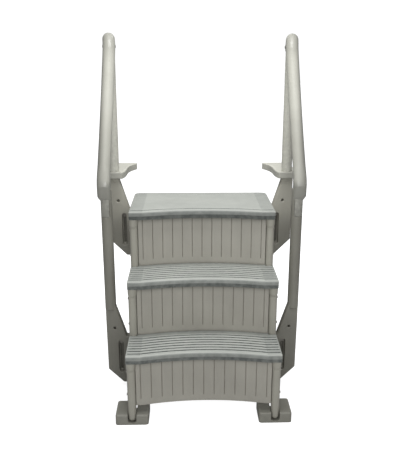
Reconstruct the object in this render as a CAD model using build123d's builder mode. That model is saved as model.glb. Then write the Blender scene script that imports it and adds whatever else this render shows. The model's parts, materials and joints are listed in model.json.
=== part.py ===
"""In-pool step ladder: three moulded treads between two stringers, with a deck-mounted
handrail frame that slides up and down on each side.

Frame: X to the right of someone facing the steps, Y from the water towards the deck,
Z up. The origin is on the floor in the middle of the ladder's footprint. The pieces are laid
out from the ends of the top tread's nosing, and save() moves them to that origin.
"""
import os

from build123d import *

os.makedirs("parts", exist_ok=True)

# ---- stair --------------------------------------------------------------------------
TREAD_WIDTH = 750.0
RISE = 302.0
GOING = 198.0
BOTTOM_TREAD_TOP = 382.0
TREAD_THICKNESS = 44.0
TOP_TREAD_DEPTH = 441.0
LOWER_TREAD_DEPTH = 300.0
SAGITTA = 38.0
END_BLOCK = 70.0
SKIN = 8.0
NOSING_ROUNDING = 9.0
TREAD_CORNER = 34.0
CELL_COUNT = 7
CELL_CORNER = 6.0
NOSING_WALL = 20.0
REAR_WALL = 14.0
NOTCH_GAP = 0.3
TREAD_SCREW_FRONT = 90.0
TOP_TREAD_SCREW_BACK = 330.0

STRINGER_THICKNESS = 41.0
COLUMN_SETBACK = 26.0
COLUMN_DEPTH = 50.0
COLUMN_ROUNDING = 18.0
COLLAR_RADIUS = 22.5
COLLAR_LENGTH = 32.0
COLLAR_FORWARD = 9.0
REAR_POST_BACK = 465.0
BOTTOM_RAIL_HEIGHT = 115.0
WEB_THICKNESS = 7.0
WEB_BORDER = 45.0
WEB_CORNER = 18.0
WATER_HOLE_RADIUS = 28.0
WATER_HOLE_INSET = 80.0
SHELF_WIDTH = 22.0
SHELF_THICKNESS = 10.0

RISER_SETBACK = 40.0
RISER_THICKNESS = 16.0
RISER_END_GAP = 2.8
GROOVE_COUNT = 13
GROOVE_SPACING = 51.5
GROOVE_WIDTH = 6.0
PLAIN_BAND = 36.0
BOTTOM_RISER_GAP = 96.0
RISER_SCREW_INSET = 60.0

# ---- feet ---------------------------------------------------------------------------
FOOT_WIDTH = 163.0
FOOT_SHORT_SIDE = 32.0
FOOT_LONG_SIDE = 108.0
FOOT_HEIGHT = 55.0
PIVOT_HEIGHT = 34.0
PIVOT_RADIUS = 6.0
PIVOT_END_WALL = 15.0
FOOT_CORNER = 12.0
FOOT_RIM = 8.0
COLUMN_END_RADIUS = COLUMN_DEPTH / 2
CHANNEL_CORNER = 14.0

# ---- handrail frames ----------------------------------------------------------------
LEG_X = 487.0
LEG_Y = 28.0
LEG_RADIUS = 29.0
LEG_BORE = 22.0
WING_THICKNESS = 44.0
WING_RIM = 8.0
FRONT_WING_HEIGHT = 210.0
NECK_INNER = 461.0
SKIRT_INNER = 430.0
SKIRT_DROP = 277.0
SPIGOT_DEPTH = 20.0
SPIGOT_LENGTH = 150.0
TONGUE_INNER = 16.0
TONGUE_BACK = 15.0
LAP_GAP = 0.3
UPPER_SHELF = 900.0
WING_OUTER = 524.0
SLOT_X = 437.5
SLOT_WIDTH = 26.0
SLOT_TOP = 26.0
SLOT_LENGTH = 188.0
SLOT_DEPTH = 28.0
CLAMP_RADIUS = 5.0
DRAIN_X = 468.0
DRAIN_Z = 48.0
DRAIN_RADIUS = 7.5

ELBOW_BOTTOM = 1040.0
ELBOW_TOP = 1150.0
TONGUE_BOTTOM = 958.0
RAIL_RADIUS = 32.5
RAIL_BORE = 28.5
REAR_TUBE_RADIUS = 29.5
REAR_TUBE_BORE = 25.5
REAR_TUBE_X = 489.0
RAIL_END_Z = 1772.0
FLANGE_TOP = 1115.0
FLANGE_THICKNESS = 37.0
FLANGE_FRONT = 385.0
FLANGE_BACK = 694.0
FLANGE_OUTER = 545.0
DECK_PAD_FRONT = 460.0
DECK_PAD_DROP = 2.0
FLANGE_CORNER = 22.0
FLANGE_RIM = 5.0
DECK_HOLE_RADIUS = 5.0
DECK_HOLE_X = 505.0
DECK_HOLE_Y = 580.0
DECK_HOLE_SPACING = 140.0

# ---- clearances and fasteners -------------------------------------------------------
RUNNING = 0.06
FIT = 0.1
SIDE_GAP = 2.0
LUG_THICKNESS = 12.0
LUG_DROP = 15.0
LUG_HEIGHT = 210.0
LUG_MARGIN = 26.0
LUG_ROOT = 8.0
LUG_GAP = 1.0
CHANNEL_GAP = 0.6
WASHER_THICKNESS = 2.0
WASHER_RADIUS = 15.0
CLAMP_END = 24.0
CLAMP_HEAD_HEIGHT = 6.0
WING_NUT_THICKNESS = 14.0
WING_NUT_SPAN = 44.0
WING_NUT_HUB = 9.0
WING_NUT_WEB = 7.0
SCREW_RADIUS = 3.0
SCREW_HEAD_RADIUS = 6.0
SCREW_HEAD_HEIGHT = 3.0
SCREW_BITE = 26.0
BRACE_RADIUS = 20.0
BRACE_WALL = 4.0
BRACE_PLUG = 50.0
BRACE_BOLT_RADIUS = 4.0
BRACE_BOLT_BITE = 38.0
BRACE_BOLT_HEAD = 9.0
JOINT_BOLT_RADIUS = 4.0
JOINT_BOLT_HEAD = 8.0

# ---- derived ------------------------------------------------------------------------
HALF_WIDTH = TREAD_WIDTH / 2
INNER_FACE = HALF_WIDTH - STRINGER_THICKNESS
KINK = HALF_WIDTH - END_BLOCK
STEPS = ("top", "middle", "bottom")
SIDES = {"left": -1, "right": 1}
ENDS = (-1, 1)
FOOTPRINT_MIDDLE = (FLANGE_BACK - 2 * GOING) / 2
STRINGER_MID = (HALF_WIDTH + INNER_FACE) / 2
FRONT_PIVOT_Y = -2 * GOING + COLUMN_SETBACK + COLUMN_END_RADIUS
REAR_PIVOT_Y = REAR_POST_BACK - COLUMN_END_RADIUS
REAR_LEG_Y = LEG_Y + 2 * GOING
LOWER_SHELF = UPPER_SHELF - 2 * RISE
BOLT_DROP = SLOT_TOP + SLOT_WIDTH / 2
SHELF_X = INNER_FACE - SHELF_WIDTH / 2
TREAD_SCREW_BITE = 20.0
LEGS = (("rear", REAR_LEG_Y, UPPER_SHELF), ("front", LEG_Y, LOWER_SHELF))
UP = (Align.CENTER, Align.CENTER, Align.MIN)
ALONG_X = (0, 90, 0)
ALONG_Y = (90, 0, 0)
BRACE_HEIGHTS = {"lower": 175.0, "upper": 540.0}


def nosing_y(step):
    return -step * GOING


def tread_top(step):
    return BOTTOM_TREAD_TOP + (2 - step) * RISE


def ledge_z(step):
    return tread_top(step) - TREAD_THICKNESS


def curve_setback(x):
    """How far the hollow front edge lies behind the nosing's ends at this x."""
    return SAGITTA * (1 - min(1.0, (x / KINK) ** 2))


def save(part, name):
    """Write a finished piece, moved from the nosing's layout to the ladder's own origin."""
    placed = part.moved(Location((0, -FOOTPRINT_MIDDLE, 0)))
    placed.label = name
    export_step(placed, f"parts/{name}.step")


def mirrored(part, side):
    """The right-hand part as modelled, or its mirror image for the left."""
    return part if side > 0 else mirror(part, about=Plane.YZ)


# ---- treads -------------------------------------------------------------------------
def tread_rib_cells():
    """X centres and width of the hollow cells underneath a tread."""
    pitch = 2 * (KINK - CELL_CORNER) / CELL_COUNT
    return [(pitch * (i - (CELL_COUNT - 1) / 2), pitch - SKIN) for i in range(CELL_COUNT)]


def screw_ys(step):
    """Where the two tread screws on each side stand, front to back."""
    last = TOP_TREAD_SCREW_BACK if step == 0 else 2 * TREAD_SCREW_FRONT
    return (nosing_y(step) + TREAD_SCREW_FRONT, nosing_y(step) + last)


for step, level in enumerate(STEPS):
    front = nosing_y(step)
    depth = TOP_TREAD_DEPTH if step == 0 else LOWER_TREAD_DEPTH
    next_column = front + GOING + COLUMN_SETBACK - NOTCH_GAP
    with BuildPart() as tread:
        with BuildSketch(Plane.XY.offset(ledge_z(step))):
            with BuildLine():
                back = front + depth
                Polyline((-KINK, front), (-HALF_WIDTH, front), (-HALF_WIDTH, back),
                         (HALF_WIDTH, back), (HALF_WIDTH, front), (KINK, front))
                ThreePointArc((KINK, front), (0, front + SAGITTA), (-KINK, front))
            make_face()
            if step > 0:
                notch = STRINGER_THICKNESS + NOTCH_GAP
                for end in ENDS:
                    with Locations((end * (HALF_WIDTH - notch / 2), (next_column + back) / 2)):
                        Rectangle(notch, back - next_column, mode=Mode.SUBTRACT)
        extrude(amount=TREAD_THICKNESS)
        if step == 0:
            corners = tread.edges().filter_by(Axis.Z).group_by(Axis.Y)[-1]
            fillet(corners, TREAD_CORNER)
        top_edges = tread.faces().sort_by(Axis.Z)[-1].edges()
        front_edges = top_edges.filter_by(lambda e: e.center().Y < front + SAGITTA + 1)
        fillet(front_edges, NOSING_ROUNDING)
        for x, width in tread_rib_cells():
            cell_front = front + curve_setback(x) + NOSING_WALL
            cell_back = front + depth - REAR_WALL
            with BuildSketch(Plane.XY.offset(ledge_z(step))):
                with Locations((x, (cell_front + cell_back) / 2)):
                    RectangleRounded(width, cell_back - cell_front, CELL_CORNER)
            extrude(amount=TREAD_THICKNESS - SKIN, mode=Mode.SUBTRACT)
        for end in ENDS:
            for y in screw_ys(step):
                with Locations((end * SHELF_X, y, ledge_z(step))):
                    Cylinder(SCREW_RADIUS, 2 * TREAD_SCREW_BITE + 2 * NOTCH_GAP, mode=Mode.SUBTRACT)
    save(tread.part, f"{level}_tread")

# ---- risers -------------------------------------------------------------------------
RISER_SCREW_Y = RISER_SETBACK + RISER_THICKNESS / 2


def riser_bottom(step):
    return BOTTOM_RISER_GAP if step == 2 else tread_top(step + 1)


def riser_screw_zs(step):
    return (riser_bottom(step) + RISER_SCREW_INSET, ledge_z(step) - RISER_SCREW_INSET)


for step, level in enumerate(STEPS):
    face_y = nosing_y(step) + RISER_SETBACK
    low = riser_bottom(step)
    high = ledge_z(step)
    with BuildPart() as riser:
        with BuildSketch(Plane.XY.offset(low)):
            with BuildLine():
                half = INNER_FACE - RISER_END_GAP
                back = face_y + RISER_THICKNESS
                Polyline((-KINK, face_y), (-half, face_y), (-half, back), (-KINK, back))
                ThreePointArc((-KINK, back), (0, back + SAGITTA), (KINK, back))
                Polyline((KINK, back), (half, back), (half, face_y), (KINK, face_y))
                ThreePointArc((KINK, face_y), (0, face_y + SAGITTA), (-KINK, face_y))
            make_face()
        extrude(amount=high - low)
        with BuildSketch(Plane.XY.offset(low + PLAIN_BAND)):
            for i in range(GROOVE_COUNT):
                x = (i - (GROOVE_COUNT - 1) / 2) * GROOVE_SPACING
                with Locations((x, face_y + curve_setback(x))):
                    Circle(GROOVE_WIDTH / 2)
        extrude(amount=high - low, mode=Mode.SUBTRACT)
        for end in ENDS:
            for z in riser_screw_zs(step):
                with Locations((end * INNER_FACE, nosing_y(step) + RISER_SCREW_Y, z)):
                    Cylinder(SCREW_RADIUS, 2 * SCREW_BITE + NOTCH_GAP, rotation=ALONG_X,
                             mode=Mode.SUBTRACT)
    save(riser.part, f"{level}_riser")

# ---- stringers ----------------------------------------------------------------------
def stringer_outline():
    """Stepped outline of the side panel in Y and Z, clockwise from the front foot."""
    front = FRONT_PIVOT_Y - COLUMN_END_RADIUS
    points = [(front, PIVOT_HEIGHT)]
    for step in (2, 1, 0):
        y = nosing_y(step) + COLUMN_SETBACK
        next_y = REAR_POST_BACK if step == 0 else y + GOING
        points += [(y, ledge_z(step)), (next_y, ledge_z(step))]
    points.append((REAR_POST_BACK, PIVOT_HEIGHT))
    return points


with BuildPart() as stringer:
    with BuildSketch(Plane.YZ.offset(INNER_FACE)):
        with BuildLine():
            outline = Polyline(*stringer_outline())
            rear_inner = REAR_POST_BACK - COLUMN_DEPTH
            front_inner = FRONT_PIVOT_Y + COLUMN_END_RADIUS
            ThreePointArc((REAR_POST_BACK, PIVOT_HEIGHT),
                          (REAR_PIVOT_Y, PIVOT_HEIGHT - COLUMN_END_RADIUS),
                          (rear_inner, PIVOT_HEIGHT))
            Polyline((rear_inner, PIVOT_HEIGHT), (rear_inner, BOTTOM_RAIL_HEIGHT),
                     (front_inner, BOTTOM_RAIL_HEIGHT), (front_inner, PIVOT_HEIGHT))
            ThreePointArc((front_inner, PIVOT_HEIGHT),
                          (FRONT_PIVOT_Y, PIVOT_HEIGHT - COLUMN_END_RADIUS),
                          outline @ 0)
        make_face()
    extrude(amount=STRINGER_THICKNESS)
    column_fronts = [nosing_y(step) + COLUMN_SETBACK for step in (0, 1)]
    standing = stringer.edges().filter_by(Axis.Z)
    rounded = [e for e in standing if any(abs(e.center().Y - y) < 1 for y in column_fronts)]
    rounded += stringer.edges().filter_by(GeomType.CIRCLE)
    fillet(rounded, COLUMN_ROUNDING)
    # short collar at the head of each column, round below like a fingertip
    for step in range(3):
        collar_y = nosing_y(step) + COLUMN_SETBACK + COLLAR_RADIUS - COLLAR_FORWARD
        with Locations((STRINGER_MID, collar_y, ledge_z(step) - COLLAR_LENGTH)):
            Cylinder(COLLAR_RADIUS, COLLAR_LENGTH, align=UP)
            Sphere(COLLAR_RADIUS)
    # the panel between the columns is a thin web, pocketed from both sides
    for step in (2, 1, 0):
        y_low = nosing_y(step) + COLUMN_SETBACK + COLUMN_DEPTH
        y_high = y_low + GOING - COLUMN_DEPTH
        if step == 0:
            y_high = REAR_POST_BACK - COLUMN_DEPTH
        z_low = BOTTOM_RAIL_HEIGHT + WEB_BORDER
        z_high = ledge_z(step) - WEB_BORDER
        pocket = (STRINGER_THICKNESS - WEB_THICKNESS) / 2
        for x in (INNER_FACE, HALF_WIDTH - pocket):
            with BuildSketch(Plane.YZ.offset(x)):
                with Locations(((y_low + y_high) / 2, (z_low + z_high) / 2)):
                    RectangleRounded(y_high - y_low, z_high - z_low, WEB_CORNER)
            extrude(amount=pocket, mode=Mode.SUBTRACT)
        # water holes let the hollow step fill and sink
        with BuildSketch(Plane.YZ.offset(INNER_FACE)):
            for z in (z_low + WATER_HOLE_INSET, z_high - WATER_HOLE_INSET):
                with Locations(((y_low + y_high) / 2, z)):
                    Circle(WATER_HOLE_RADIUS)
        extrude(amount=STRINGER_THICKNESS, mode=Mode.SUBTRACT)
    # inner shelves that the treads are screwed to
    for step in range(3):
        y_low = nosing_y(step) + COLUMN_SETBACK + COLUMN_DEPTH
        y_high = screw_ys(step)[1] + SHELF_WIDTH
        shelf_z = ledge_z(step) - SHELF_THICKNESS / 2
        with Locations((SHELF_X, (y_low + y_high) / 2, shelf_z)):
            Box(SHELF_WIDTH, y_high - y_low, SHELF_THICKNESS)
        for y in screw_ys(step):
            with Locations((SHELF_X, y, shelf_z)):
                Cylinder(SCREW_RADIUS + FIT, SHELF_THICKNESS, mode=Mode.SUBTRACT)
        for z in riser_screw_zs(step):
            with Locations((STRINGER_MID, nosing_y(step) + RISER_SCREW_Y, z)):
                Cylinder(SCREW_RADIUS + FIT, STRINGER_THICKNESS, rotation=ALONG_X,
                         mode=Mode.SUBTRACT)
    # outer lugs, tall enough to close the backs of the adjusting slots at rest
    for _, leg_y, shelf in LEGS:
        lug_y = leg_y + WING_THICKNESS / 2 + LUG_GAP + LUG_THICKNESS / 2
        with Locations((HALF_WIDTH - LUG_ROOT, lug_y, shelf - LUG_DROP)):
            Box(SLOT_X + LUG_MARGIN - HALF_WIDTH + LUG_ROOT, LUG_THICKNESS, LUG_HEIGHT,
                align=(Align.MIN, Align.CENTER, Align.MAX))
        with Locations((SLOT_X, lug_y, shelf - BOLT_DROP)):
            Cylinder(CLAMP_RADIUS + FIT, LUG_THICKNESS, rotation=ALONG_Y, mode=Mode.SUBTRACT)
    for pivot_y in (FRONT_PIVOT_Y, REAR_PIVOT_Y):
        with Locations((STRINGER_MID, pivot_y, PIVOT_HEIGHT)):
            Cylinder(PIVOT_RADIUS + RUNNING, STRINGER_THICKNESS, rotation=ALONG_X,
                     mode=Mode.SUBTRACT)
    for z in BRACE_HEIGHTS.values():
        with Locations((STRINGER_MID, REAR_PIVOT_Y, z)):
            Cylinder(BRACE_BOLT_RADIUS + FIT, STRINGER_THICKNESS, rotation=ALONG_X,
                     mode=Mode.SUBTRACT)
for side_name, side in SIDES.items():
    save(mirrored(stringer.part, side), f"{side_name}_stringer")

# ---- rear braces and their bolts ----------------------------------------------------
for name, z in BRACE_HEIGHTS.items():
    with BuildPart() as brace:
        with Locations((0, REAR_PIVOT_Y, z)):
            Cylinder(BRACE_RADIUS, 2 * INNER_FACE, rotation=ALONG_X)
            Cylinder(BRACE_RADIUS - BRACE_WALL, 2 * (INNER_FACE - BRACE_PLUG), rotation=ALONG_X,
                     mode=Mode.SUBTRACT)
        for side in SIDES.values():
            with Locations((side * INNER_FACE, REAR_PIVOT_Y, z)):
                Cylinder(BRACE_BOLT_RADIUS, 2 * BRACE_BOLT_BITE + SIDE_GAP, rotation=ALONG_X,
                         mode=Mode.SUBTRACT)
    save(brace.part, f"{name}_rear_brace")


def headed_along_x(x, y, z, side, radius, length, head_radius, head_height):
    """A bolt whose head bears on an outward-facing wall at x."""
    with Locations((side * (x + head_height / 2), y, z)):
        Cylinder(head_radius, head_height, rotation=ALONG_X)
    with Locations((side * (x - length / 2), y, z)):
        Cylinder(radius, length, rotation=ALONG_X)


with BuildPart() as brace_bolts:
    for side in SIDES.values():
        for z in BRACE_HEIGHTS.values():
            headed_along_x(HALF_WIDTH, REAR_PIVOT_Y, z, side, BRACE_BOLT_RADIUS,
                           STRINGER_THICKNESS + BRACE_BOLT_BITE, BRACE_BOLT_HEAD,
                           BRACE_BOLT_HEAD / 2)
save(brace_bolts.part, "brace_bolts")

with BuildPart() as riser_screws:
    for side in SIDES.values():
        for step in range(3):
            for z in riser_screw_zs(step):
                headed_along_x(HALF_WIDTH, nosing_y(step) + RISER_SCREW_Y, z, side,
                               SCREW_RADIUS, STRINGER_THICKNESS + SCREW_BITE,
                               SCREW_HEAD_RADIUS, SCREW_HEAD_HEIGHT)
save(riser_screws.part, "riser_screws")

with BuildPart() as tread_screws:
    for side in SIDES.values():
        for step in range(3):
            for y in screw_ys(step):
                under = ledge_z(step) - SHELF_THICKNESS
                with Locations((side * SHELF_X, y, under - SCREW_HEAD_HEIGHT)):
                    Cylinder(SCREW_HEAD_RADIUS, SCREW_HEAD_HEIGHT, align=UP)
                with Locations((side * SHELF_X, y, under)):
                    Cylinder(SCREW_RADIUS, SHELF_THICKNESS + TREAD_SCREW_BITE, align=UP)
save(tread_screws.part, "tread_screws")

# ---- clamp bolts, washers and wing nuts ---------------------------------------------
def clamp_places():
    """Side, Y of the step inside the slot, Y behind the lug, and Z of each clamp bolt."""
    for side in SIDES.values():
        for _, leg_y, shelf in LEGS:
            seat = leg_y - WING_THICKNESS / 2 + SLOT_DEPTH
            behind = leg_y + WING_THICKNESS / 2 + LUG_GAP + LUG_THICKNESS
            yield side * SLOT_X, seat, behind, shelf - BOLT_DROP


with BuildPart() as clamp_bolts:
    for x, seat, behind, z in clamp_places():
        end = behind + CLAMP_END
        with Locations((x, seat - CLAMP_HEAD_HEIGHT / 2 - FIT, z)):
            Cylinder(SLOT_WIDTH / 2 - CHANNEL_GAP, CLAMP_HEAD_HEIGHT, rotation=ALONG_Y)
        with Locations((x, (seat + end) / 2 - FIT, z)):
            Cylinder(CLAMP_RADIUS, end - seat, rotation=ALONG_Y)
save(clamp_bolts.part, "clamp_bolts")

with BuildPart() as clamp_washers:
    for x, seat, behind, z in clamp_places():
        with BuildSketch(Plane(origin=(x, behind, z), x_dir=(1, 0, 0), z_dir=(0, 1, 0))):
            Circle(WASHER_RADIUS)
            Circle(CLAMP_RADIUS + FIT, mode=Mode.SUBTRACT)
        extrude(amount=WASHER_THICKNESS)
save(clamp_washers.part, "clamp_washers")

for side_name, side in SIDES.items():
    for end_name, leg_y, shelf in LEGS:
        nut_y = leg_y + WING_THICKNESS / 2 + LUG_GAP + LUG_THICKNESS + WASHER_THICKNESS
        seat = Plane(origin=(side * SLOT_X, nut_y, shelf - BOLT_DROP),
                     x_dir=(1, 0, 0), z_dir=(0, 1, 0))
        with BuildPart() as wing_nut:
            with BuildSketch(seat):
                Circle(WING_NUT_HUB)
                SlotOverall(WING_NUT_SPAN, WING_NUT_WEB)
                Circle(CLAMP_RADIUS + RUNNING, mode=Mode.SUBTRACT)
            extrude(amount=WING_NUT_THICKNESS)
        save(wing_nut.part, f"{side_name}_{end_name}_wing_nut")

# ---- feet and their pins ------------------------------------------------------------
FOOT_PLACES = {"front": (FRONT_PIVOT_Y, -1), "rear": (REAR_PIVOT_Y, 1)}
for end_name, (pivot_y, outward) in FOOT_PLACES.items():
    with BuildPart() as foot:
        centre_y = pivot_y + outward * (FOOT_SHORT_SIDE - FOOT_LONG_SIDE) / 2
        depth = FOOT_SHORT_SIDE + FOOT_LONG_SIDE
        with BuildSketch():
            with Locations((STRINGER_MID, centre_y)):
                RectangleRounded(FOOT_WIDTH, depth, FOOT_CORNER)
        extrude(amount=FOOT_HEIGHT)
        rim = foot.edges().group_by(Axis.Z)[-1]
        fillet(rim, FOOT_RIM)
        channel_floor = PIVOT_HEIGHT - COLUMN_END_RADIUS - 1
        channel_width = STRINGER_THICKNESS + 2 * CHANNEL_GAP
        with BuildSketch(Plane.XZ.offset(-centre_y)):
            with Locations((STRINGER_MID, channel_floor + FOOT_HEIGHT / 2)):
                RectangleRounded(channel_width, FOOT_HEIGHT, CHANNEL_CORNER)
            with Locations((STRINGER_MID, channel_floor + FOOT_HEIGHT)):
                Rectangle(channel_width, FOOT_HEIGHT)
        extrude(amount=depth, both=True, mode=Mode.SUBTRACT)
        with Locations((STRINGER_MID, pivot_y, PIVOT_HEIGHT)):
            Cylinder(PIVOT_RADIUS + RUNNING, FOOT_WIDTH - 2 * PIVOT_END_WALL, rotation=ALONG_X,
                     mode=Mode.SUBTRACT)
    for side_name, side in SIDES.items():
        save(mirrored(foot.part, side), f"{side_name}_{end_name}_foot")

with BuildPart() as foot_pins:
    for side in SIDES.values():
        for pivot_y, _ in FOOT_PLACES.values():
            with Locations((side * STRINGER_MID, pivot_y, PIVOT_HEIGHT)):
                Cylinder(PIVOT_RADIUS, FOOT_WIDTH - 2 * PIVOT_END_WALL - LUG_GAP, rotation=ALONG_X)
save(foot_pins.part, "foot_pins")


# ---- legs with their slotted wings --------------------------------------------------
def wing_face(shelf, top, neck_outer, skirt_outer):
    """The wing's outline in X and Z: shelf, sloping shoulder, neck, outer edge, skirt."""
    inner = HALF_WIDTH + SIDE_GAP
    skirt_z = shelf - SKIRT_DROP
    with BuildLine() as outline:
        Polyline((inner, skirt_z - 3), (inner, shelf), (406, shelf), (413, shelf + 24),
                 (NECK_INNER, shelf + 174), (NECK_INNER, top), (neck_outer, top),
                 (neck_outer, shelf + 90), (skirt_outer, skirt_z + skirt_outer - SKIRT_INNER),
                 (SKIRT_INNER, skirt_z), close=True)
    make_face(outline.edges())


def soften_front(leg, top):
    """Round the wing's front rim, except at its top and where it meets the stringer."""
    inner = HALF_WIDTH + SIDE_GAP
    rims = leg.faces().sort_by(Axis.Y)[0].edges().filter_by(
        lambda e: e.center().X > inner + 1 and e.center().Z < top - 1)
    fillet(rims, WING_RIM)


def cut_wing_openings(leg_y, shelf):
    """The stepped adjusting slot and the drain hole, cut from the wing in progress."""
    front = leg_y - WING_THICKNESS / 2
    slot_z = shelf - SLOT_TOP - SLOT_LENGTH / 2
    rear_width = 2 * (CLAMP_RADIUS + CHANNEL_GAP)
    facing = Plane(origin=(0, front, 0), x_dir=(1, 0, 0), z_dir=(0, -1, 0))
    with BuildSketch(facing) as wide_slot:
        with Locations((SLOT_X, slot_z)):
            SlotOverall(SLOT_LENGTH, SLOT_WIDTH, rotation=90)
        with Locations((DRAIN_X, shelf + DRAIN_Z)):
            Circle(DRAIN_RADIUS)
    extrude(wide_slot.sketch, amount=-SLOT_DEPTH, mode=Mode.SUBTRACT)
    with BuildSketch(facing) as narrow_slot:
        with Locations((SLOT_X, slot_z)):
            SlotOverall(SLOT_LENGTH - SLOT_WIDTH + rear_width, rear_width, rotation=90)
    extrude(narrow_slot.sketch, amount=-WING_THICKNESS, mode=Mode.SUBTRACT)


UNDER_FLANGE = FLANGE_TOP - FLANGE_THICKNESS
BASE_SCREW_ZS = (FLANGE_TOP + 40, FLANGE_TOP + 70)
LAP_SCREW_ZS = (TONGUE_BOTTOM + 22, TONGUE_BOTTOM + 66)
LAP_SCREW_X = LEG_X + 4
LAP_BITE = 6.0
BASE_BITE = 20.0
TONGUE_TOP = ELBOW_BOTTOM + SCREW_HEAD_RADIUS * 2
LEG_SPIGOT = 60.0
BOLT_SEAT = RAIL_RADIUS - 1.5

with BuildPart() as rear_leg:
    back = REAR_LEG_Y + WING_THICKNESS / 2
    with BuildSketch(Plane(origin=(0, back, 0), x_dir=(1, 0, 0), z_dir=(0, -1, 0))):
        wing_face(UPPER_SHELF, UNDER_FLANGE, WING_OUTER, WING_OUTER - 2)
    extrude(amount=WING_THICKNESS)
    soften_front(rear_leg, UNDER_FLANGE)
    with Locations((REAR_TUBE_X, REAR_LEG_Y, UNDER_FLANGE - SPIGOT_DEPTH)):
        Cylinder(REAR_TUBE_BORE - FIT, SPIGOT_LENGTH, align=UP)
    cut_wing_openings(REAR_LEG_Y, UPPER_SHELF)
    for z in BASE_SCREW_ZS:
        with Locations((REAR_TUBE_X, REAR_LEG_Y + REAR_TUBE_RADIUS, z)):
            Cylinder(SCREW_RADIUS, 2 * SCREW_BITE, rotation=ALONG_Y, mode=Mode.SUBTRACT)

with BuildPart() as front_leg:
    back = LEG_Y + WING_THICKNESS / 2
    wing_top = LOWER_SHELF + FRONT_WING_HEIGHT
    with BuildSketch(Plane(origin=(0, back, 0), x_dir=(1, 0, 0), z_dir=(0, -1, 0))):
        wing_face(LOWER_SHELF, wing_top, LEG_X + LEG_RADIUS - 3, LEG_X + LEG_RADIUS - 5)
    extrude(amount=WING_THICKNESS)
    soften_front(front_leg, wing_top)
    with Locations((LEG_X, LEG_Y, wing_top - LEG_RADIUS * 2)):
        Cylinder(LEG_RADIUS, ELBOW_BOTTOM - wing_top + LEG_RADIUS * 2, align=UP)
    with Locations((LEG_X, LEG_Y, ELBOW_BOTTOM)):
        Cylinder(RAIL_BORE - FIT, LEG_SPIGOT, align=UP)
    with Locations((LEG_X, LEG_Y, wing_top + LEG_RADIUS)):
        Cylinder(LEG_BORE, ELBOW_BOTTOM - LOWER_SHELF, align=UP, mode=Mode.SUBTRACT)
    # flat that the elbow's tongue laps onto
    with Locations((LEG_X - TONGUE_INNER - LAP_GAP, LEG_Y - TONGUE_BACK + LAP_GAP,
                    TONGUE_BOTTOM - LAP_GAP)):
        Box(2 * LEG_RADIUS, LEG_RADIUS, TONGUE_TOP - TONGUE_BOTTOM + 2 * LAP_GAP,
            align=(Align.MIN, Align.MAX, Align.MIN), mode=Mode.SUBTRACT)
    for z in LAP_SCREW_ZS:
        with Locations((LAP_SCREW_X, LEG_Y, z)):
            Cylinder(SCREW_RADIUS + FIT, 2 * LEG_RADIUS, rotation=ALONG_Y,
                     mode=Mode.SUBTRACT)
    cut_wing_openings(LEG_Y, LOWER_SHELF)

# ---- handrail: elbow, raked tube and hairpin top ------------------------------------
with BuildLine() as rail_path:
    rake = Spline((LEG_X + 1, LEG_Y, ELBOW_BOTTOM), (497, 40, 1160), (493, 112, 1310),
                  (485, 218, 1540), (477, 312, RAIL_END_Z),
                  tangents=[(0, 0, 1), (-0.03, 0.34, 1)])
    crown = Spline(rake @ 1, (483, 369, RAIL_END_Z + 55), (REAR_TUBE_X, REAR_LEG_Y, RAIL_END_Z),
                   tangents=[(-0.03, 0.34, 1), (0, 0, -1)])
joint_point = crown @ 0.9
spigot_path = crown.trim(0.8, 1)

with BuildPart() as handrail:
    with BuildSketch(Plane.XY.offset(ELBOW_BOTTOM)):
        with Locations((LEG_X + 9, LEG_Y - 1)):
            RectangleRounded(68, 66, 24)
    extrude(amount=ELBOW_TOP - ELBOW_BOTTOM)
    fillet(handrail.faces().filter_by(Plane.XY).edges(), 9)
    with BuildSketch(Plane(origin=rake @ 0, x_dir=(1, 0, 0), z_dir=rake % 0)):
        Circle(RAIL_RADIUS)
    sweep(path=rail_path.line)
    with BuildSketch(Plane(origin=rake @ 0, x_dir=(1, 0, 0), z_dir=rake % 0)):
        Circle(RAIL_BORE)
    sweep(path=rail_path.line, mode=Mode.SUBTRACT)
    with Locations((LEG_X, LEG_Y, ELBOW_BOTTOM)):
        Cylinder(RAIL_BORE, LEG_SPIGOT + JOINT_BOLT_RADIUS, align=UP, mode=Mode.SUBTRACT)
    # half-round tongue lapping down the front of the leg
    with BuildSketch(Plane.XY.offset(TONGUE_BOTTOM)):
        with Locations((LEG_X, LEG_Y)):
            Circle(LEG_RADIUS)
        with Locations((LEG_X - TONGUE_INNER, LEG_Y - TONGUE_BACK)):
            Rectangle(2 * LEG_RADIUS, LEG_RADIUS, align=(Align.MIN, Align.MAX),
                      mode=Mode.INTERSECT)
    extrude(amount=TONGUE_TOP - TONGUE_BOTTOM)
    for z in LAP_SCREW_ZS:
        with Locations((LAP_SCREW_X, LEG_Y - TONGUE_BACK, z)):
            Cylinder(SCREW_RADIUS, 2 * LAP_BITE, rotation=ALONG_Y, mode=Mode.SUBTRACT)
    with Locations(joint_point):
        Cylinder(JOINT_BOLT_RADIUS + FIT, 3 * RAIL_RADIUS, rotation=ALONG_X, mode=Mode.SUBTRACT)
    # flats that the bolt's head and nut bear on
    for end in ENDS:
        flat_x = joint_point.X + end * (BOLT_SEAT + JOINT_BOLT_RADIUS)
        with Locations((flat_x, joint_point.Y, joint_point.Z)):
            Cylinder(JOINT_BOLT_HEAD + 1, 2 * JOINT_BOLT_RADIUS, rotation=ALONG_X,
                     mode=Mode.SUBTRACT)

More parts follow.
